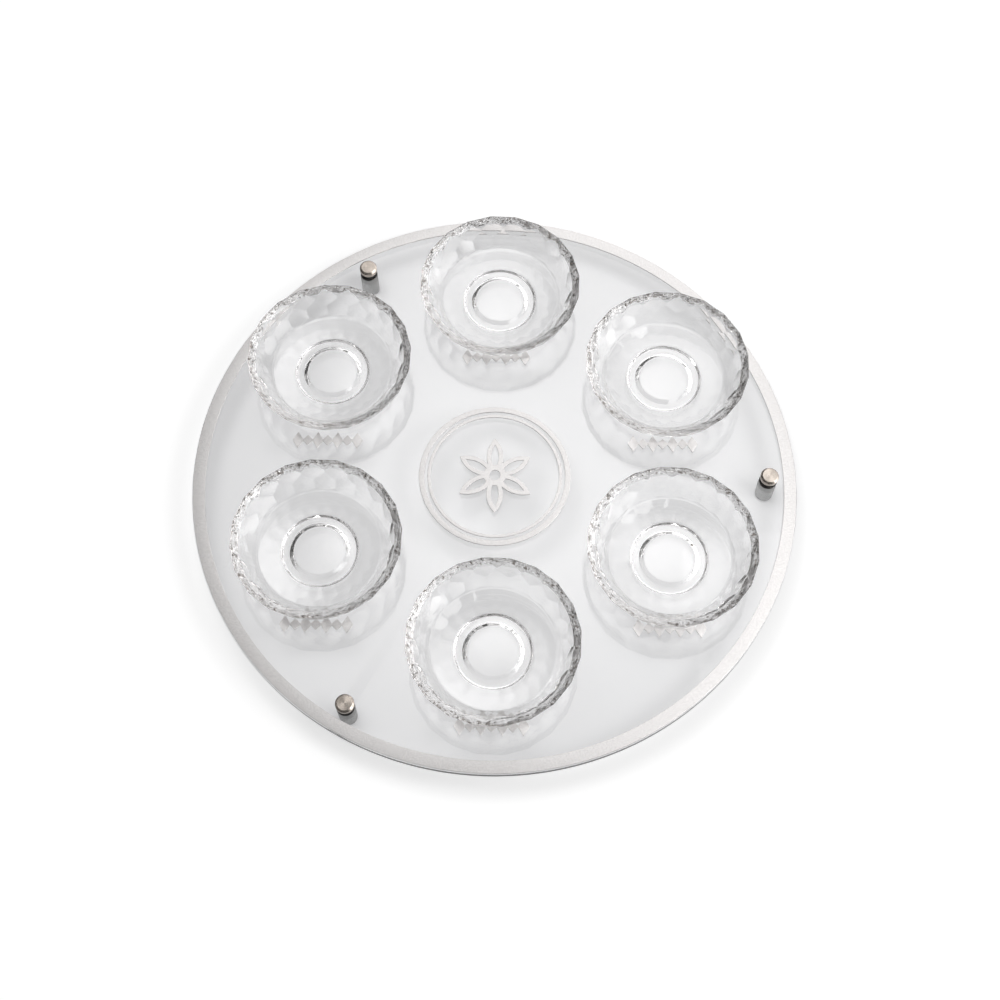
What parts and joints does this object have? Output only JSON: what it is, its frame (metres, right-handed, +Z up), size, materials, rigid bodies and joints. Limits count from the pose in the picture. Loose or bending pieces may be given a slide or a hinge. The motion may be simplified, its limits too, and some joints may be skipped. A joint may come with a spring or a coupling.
{
  "type": "seder plate",
  "caption": "Round clear glass seder plate on metal stand-off legs, with matte silver trim and a ring of loose faceted glass bowls that lift off.",
  "frame": {"origin": "on the table, under the middle of the disc", "axes": "+Z up, square to the disc; -Y is the front, from which the labels read; the single leg is at +X"},
  "size_m": [0.3999, 0.4, 0.0545],
  "materials": {
    "clear_glass": "polished",
    "bowl_glass": "pressed and fire polished",
    "silver_trim": "bead-blasted matte",
    "spun_steel": "spun brushed top",
    "satin_steel": "satin",
    "black_rubber": "matte",
    "nylon": "natural"
  },
  "bodies": {
    "plate": {"clear_disc": "clear_glass", "rim_band": "silver_trim", "medallion_ring": "silver_trim", "medallion_line": "silver_trim", "medallion_rosette": "silver_trim", "label_back": "silver_trim", "label_back_right": "silver_trim", "label_front_right": "silver_trim", "label_front": "silver_trim", "label_front_left": "silver_trim", "label_back_left": "silver_trim", "leg_cap_right": "spun_steel", "cap_gasket_right": "black_rubber", "hole_sleeve_right": "nylon", "leg_washer_right": "black_rubber", "leg_barrel_right": "satin_steel", "leg_stud_right": "satin_steel", "foot_pad_right": "black_rubber", "leg_cap_back_left": "spun_steel", "cap_gasket_back_left": "black_rubber", "hole_sleeve_back_left": "nylon", "leg_washer_back_left": "black_rubber", "leg_barrel_back_left": "satin_steel", "leg_stud_back_left": "satin_steel", "foot_pad_back_left": "black_rubber", "leg_cap_front_left": "spun_steel", "cap_gasket_front_left": "black_rubber", "hole_sleeve_front_left": "nylon", "leg_washer_front_left": "black_rubber", "leg_barrel_front_left": "satin_steel", "leg_stud_front_left": "satin_steel", "foot_pad_front_left": "black_rubber"},
    "bowl_back": {"bowl_back": "bowl_glass"},
    "bowl_back_right": {"bowl_back_right": "bowl_glass"},
    "bowl_front_right": {"bowl_front_right": "bowl_glass"},
    "bowl_front": {"bowl_front": "bowl_glass"},
    "bowl_front_left": {"bowl_front_left": "bowl_glass"},
    "bowl_back_left": {"bowl_back_left": "bowl_glass"}
  },
  "joints": [
    {"name": "bowl_back_lift", "type": "slide", "parent": "plate", "child": "bowl_back", "axis": [0, 0, 1], "range_m": [0, 0.12]},
    {"name": "bowl_back_right_lift", "type": "slide", "parent": "plate", "child": "bowl_back_right", "axis": [0, 0, 1], "range_m": [0, 0.12]},
    {"name": "bowl_front_right_lift", "type": "slide", "parent": "plate", "child": "bowl_front_right", "axis": [0, 0, 1], "range_m": [0, 0.12]},
    {"name": "bowl_front_lift", "type": "slide", "parent": "plate", "child": "bowl_front", "axis": [0, 0, 1], "range_m": [0, 0.12]},
    {"name": "bowl_front_left_lift", "type": "slide", "parent": "plate", "child": "bowl_front_left", "axis": [0, 0, 1], "range_m": [0, 0.12]},
    {"name": "bowl_back_left_lift", "type": "slide", "parent": "plate", "child": "bowl_back_left", "axis": [0, 0, 1], "range_m": [0, 0.12]}
  ]
}
